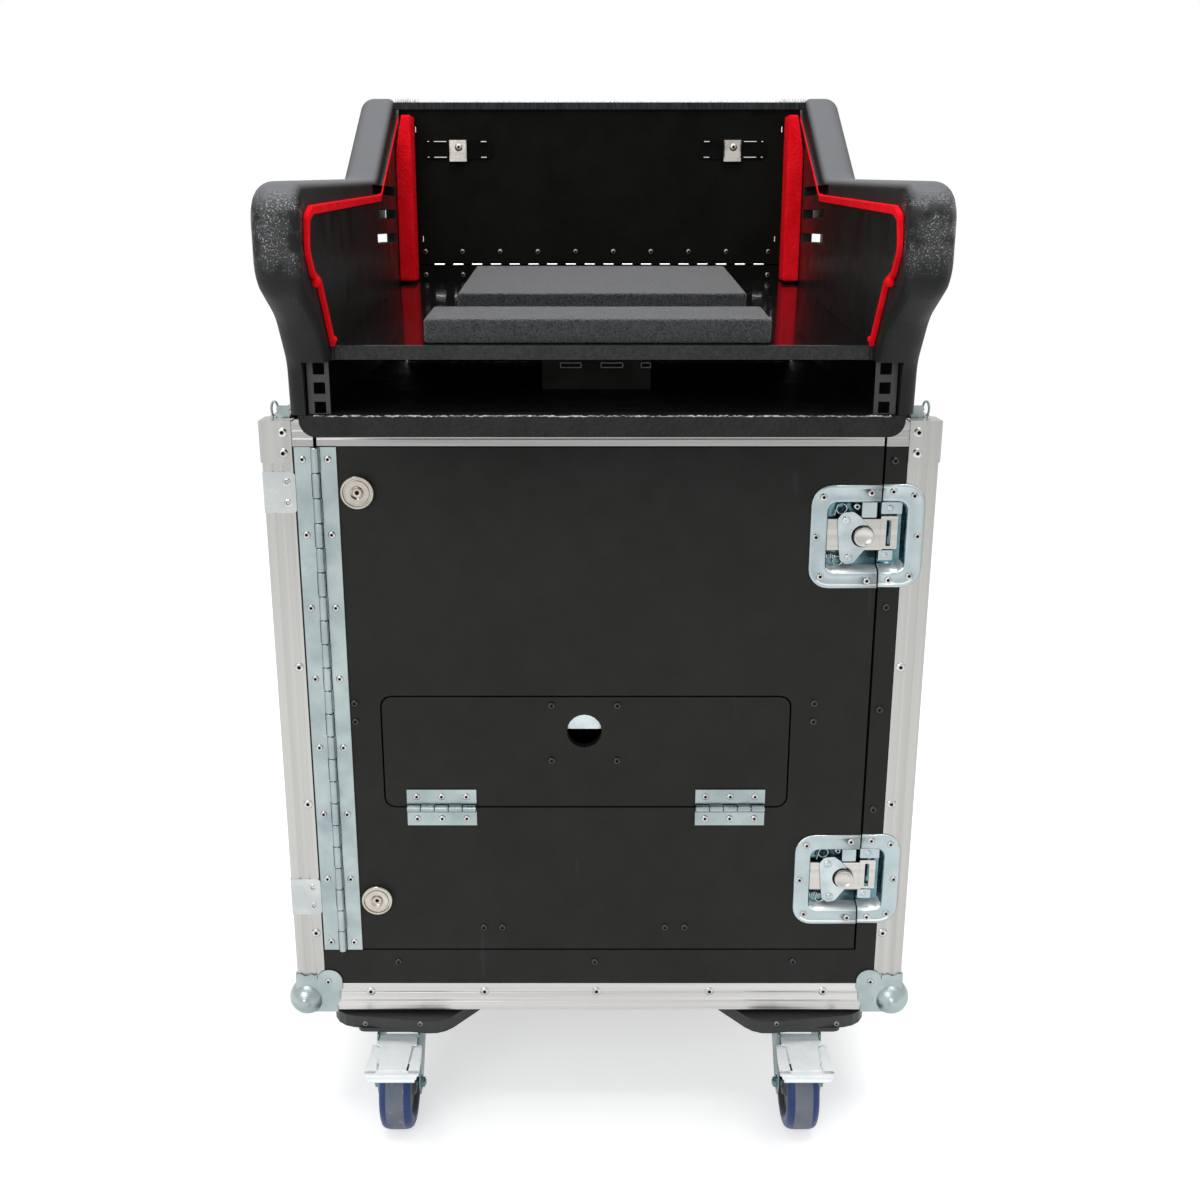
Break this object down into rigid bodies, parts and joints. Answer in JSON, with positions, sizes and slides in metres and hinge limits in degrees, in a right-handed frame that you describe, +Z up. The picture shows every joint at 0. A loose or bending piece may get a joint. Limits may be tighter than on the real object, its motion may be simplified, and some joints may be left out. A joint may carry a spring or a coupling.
{
  "type": "mixer flight case",
  "caption": "Rolling rack flight case with a hinged front door and drop-down flap, and a padded mixer housing that slides over its top on rails.",
  "frame": {"origin": "middle of the overall box, on the floor under the castor wheels", "axes": "+Z up; the door and the housing's open side face -Y; +X is to the right seen from the front"},
  "size_m": [0.684, 0.934, 1.1086],
  "materials": {
    "laminate": "black phenolic laminate with a fine texture",
    "bare_board": "black stained plywood, satin",
    "aluminium_edge": "satin extruded aluminium with fine ribs",
    "zinc_plate": "zinc plated steel",
    "moulding": "coarse textured black moulding",
    "gloss_board": "gloss black facing",
    "rack_steel": "black powder coat",
    "grey_foam": "dark grey cellular foam",
    "red_felt": "red felt",
    "blue_tread": "blue elastic rubber with a worn grey tread",
    "handle_rubber": "black moulded rubber"
  },
  "bodies": {
    "cabinet": {"side_panel_left": "laminate", "side_panel_right": "laminate", "rear_panel": "laminate", "bottom_panel": "laminate", "front_frame": "laminate", "top_deck": "bare_board", "rack_frame": "bare_board", "castor_board": "bare_board", "post_front_left": "aluminium_edge", "post_front_right": "aluminium_edge", "rear_edge_frame": "aluminium_edge", "bottom_edge_frame": "aluminium_edge", "top_rim": "aluminium_edge", "ball_corner_front_left": "zinc_plate", "ball_corner_front_right": "zinc_plate", "ball_corner_rear_left": "zinc_plate", "ball_corner_rear_right": "zinc_plate", "door_hinge_fixed_leaf": "zinc_plate", "latch_keeper_upper": "zinc_plate", "latch_keeper_lower": "zinc_plate", "slide_frame": "rack_steel"},
    "door": {"door_panel": "laminate", "door_top_edge": "aluminium_edge", "door_hinge_moving_leaf": "zinc_plate", "latch_dish_upper": "zinc_plate", "latch_dish_lower": "zinc_plate", "flap_hinge_door_leaf_left": "zinc_plate", "flap_hinge_door_leaf_right": "zinc_plate"},
    "latch_wing_upper": {"latch_wing_upper": "zinc_plate"},
    "latch_wing_lower": {"latch_wing_lower": "zinc_plate"},
    "latch_slider_upper": {"latch_slider_upper": "zinc_plate"},
    "latch_slider_lower": {"latch_slider_lower": "zinc_plate"},
    "flap": {"flap_panel": "laminate", "flap_hinge_flap_leaf_left": "zinc_plate", "flap_hinge_flap_leaf_right": "zinc_plate"},
    "slam_latch": {"slam_latch": "zinc_plate"},
    "housing": {"housing_floor": "moulding", "arm_left": "moulding", "arm_right": "moulding", "tray_shelf": "gloss_board", "rack_strip_left": "rack_steel", "rack_strip_right": "rack_steel", "foam_pad_front": "grey_foam", "foam_pad_rear": "grey_foam", "corner_pad_left": "red_felt", "corner_pad_right": "red_felt", "rear_sill": "laminate"},
    "rear_flap": {"rear_flap": "laminate"},
    "side_handle_left": {"side_handle_left": "handle_rubber"},
    "side_handle_right": {"side_handle_right": "handle_rubber"},
    "castor_fork_front_left": {"castor_fork_front_left": "zinc_plate"},
    "castor_wheel_front_left": {"castor_wheel_front_left": "blue_tread"},
    "castor_fork_front_right": {"castor_fork_front_right": "zinc_plate"},
    "castor_wheel_front_right": {"castor_wheel_front_right": "blue_tread"},
    "castor_fork_rear_left": {"castor_fork_rear_left": "zinc_plate"},
    "castor_wheel_rear_left": {"castor_wheel_rear_left": "blue_tread"},
    "castor_fork_rear_right": {"castor_fork_rear_right": "zinc_plate"},
    "castor_wheel_rear_right": {"castor_wheel_rear_right": "blue_tread"},
    "brake_pedal_front_left": {"brake_pedal_front_left": "zinc_plate"},
    "brake_pedal_front_right": {"brake_pedal_front_right": "zinc_plate"}
  },
  "joints": [
    {"name": "door_hinge", "type": "hinge", "parent": "cabinet", "child": "door", "pos_m": [-0.278, -0.18875, 0.5], "axis": [0, 0, -1], "range_deg": [0, 180]},
    {"name": "flap_hinge", "type": "hinge", "parent": "door", "child": "flap", "pos_m": [-0.0155, -0.18875, 0.39075], "axis": [1, 0, 0], "range_deg": [0, 175]},
    {"name": "slam_latch_slide", "type": "slide", "parent": "flap", "child": "slam_latch", "axis": [0, 0, -1], "range_m": [0, 0.012], "stiffness_N_per_m": 200, "springref_m": -0.01},
    {"name": "housing_slide", "type": "slide", "parent": "cabinet", "child": "housing", "axis": [0, 1, 0], "range_m": [0, 0.3]},
    {"name": "rear_flap_hinge", "type": "hinge", "parent": "housing", "child": "rear_flap", "pos_m": [0, 0.07985, 0.937], "axis": [-1, 0, 0], "range_deg": [0, 110]},
    {"name": "side_handle_left_hinge", "type": "hinge", "parent": "cabinet", "child": "side_handle_left", "pos_m": [-0.3239, 0.13555, 0.5555], "axis": [0, 1, 0], "range_deg": [0, 90], "stiffness_Nm_per_rad": 0.4},
    {"name": "side_handle_right_hinge", "type": "hinge", "parent": "cabinet", "child": "side_handle_right", "pos_m": [0.3239, 0.13555, 0.5555], "axis": [0, -1, 0], "range_deg": [0, 90], "stiffness_Nm_per_rad": 0.4},
    {"name": "latch_wing_upper_turn", "type": "hinge", "parent": "door", "child": "latch_wing_upper", "pos_m": [0.262, -0.18115, 0.6825], "axis": [0, 1, 0], "range_deg": [0, 180]},
    {"name": "latch_slider_upper_slide", "type": "slide", "parent": "door", "child": "latch_slider_upper", "axis": [1, 0, 0], "range_m": [0, 0.005]},
    {"name": "latch_wing_lower_turn", "type": "hinge", "parent": "door", "child": "latch_wing_lower", "pos_m": [0.262, -0.18115, 0.306], "axis": [0, 1, 0], "range_deg": [0, 180]},
    {"name": "latch_slider_lower_slide", "type": "slide", "parent": "door", "child": "latch_slider_lower", "axis": [1, 0, 0], "range_m": [0, 0.005]},
    {"name": "castor_swivel_front_left", "type": "hinge", "parent": "cabinet", "child": "castor_fork_front_left", "pos_m": [-0.224, -0.14045, 0.12], "axis": [0, 0, 1], "continuous": true},
    {"name": "wheel_spin_front_left", "type": "hinge", "parent": "castor_fork_front_left", "child": "castor_wheel_front_left", "pos_m": [-0.224, -0.17845, 0.05], "axis": [1, 0, 0], "continuous": true},
    {"name": "castor_swivel_front_right", "type": "hinge", "parent": "cabinet", "child": "castor_fork_front_right", "pos_m": [0.224, -0.14045, 0.12], "axis": [0, 0, 1], "continuous": true},
    {"name": "wheel_spin_front_right", "type": "hinge", "parent": "castor_fork_front_right", "child": "castor_wheel_front_right", "pos_m": [0.224, -0.17845, 0.05], "axis": [1, 0, 0], "continuous": true},
    {"name": "castor_swivel_rear_left", "type": "hinge", "parent": "cabinet", "child": "castor_fork_rear_left", "pos_m": [-0.224, 0.41155, 0.12], "axis": [0, 0, 1], "continuous": true},
    {"name": "wheel_spin_rear_left", "type": "hinge", "parent": "castor_fork_rear_left", "child": "castor_wheel_rear_left", "pos_m": [-0.224, 0.37355, 0.05], "axis": [1, 0, 0], "continuous": true},
    {"name": "castor_swivel_rear_right", "type": "hinge", "parent": "cabinet", "child": "castor_fork_rear_right", "pos_m": [0.224, 0.41155, 0.12], "axis": [0, 0, 1], "continuous": true},
    {"name": "wheel_spin_rear_right", "type": "hinge", "parent": "castor_fork_rear_right", "child": "castor_wheel_rear_right", "pos_m": [0.224, 0.37355, 0.05], "axis": [1, 0, 0], "continuous": true},
    {"name": "brake_pedal_front_left_hinge", "type": "hinge", "parent": "castor_fork_front_left", "child": "brake_pedal_front_left", "pos_m": [-0.224, -0.17495, 0.1075], "axis": [1, 0, 0], "range_deg": [0, 10]},
    {"name": "brake_pedal_front_right_hinge", "type": "hinge", "parent": "castor_fork_front_right", "child": "brake_pedal_front_right", "pos_m": [0.224, -0.17495, 0.1075], "axis": [1, 0, 0], "range_deg": [0, 10]}
  ],
  "couplings": [
    {"joint": "latch_slider_upper_slide", "follows": "latch_wing_upper_turn", "m_per_rad": 0.00159},
    {"joint": "latch_slider_lower_slide", "follows": "latch_wing_lower_turn", "m_per_rad": 0.00159}
  ]
}
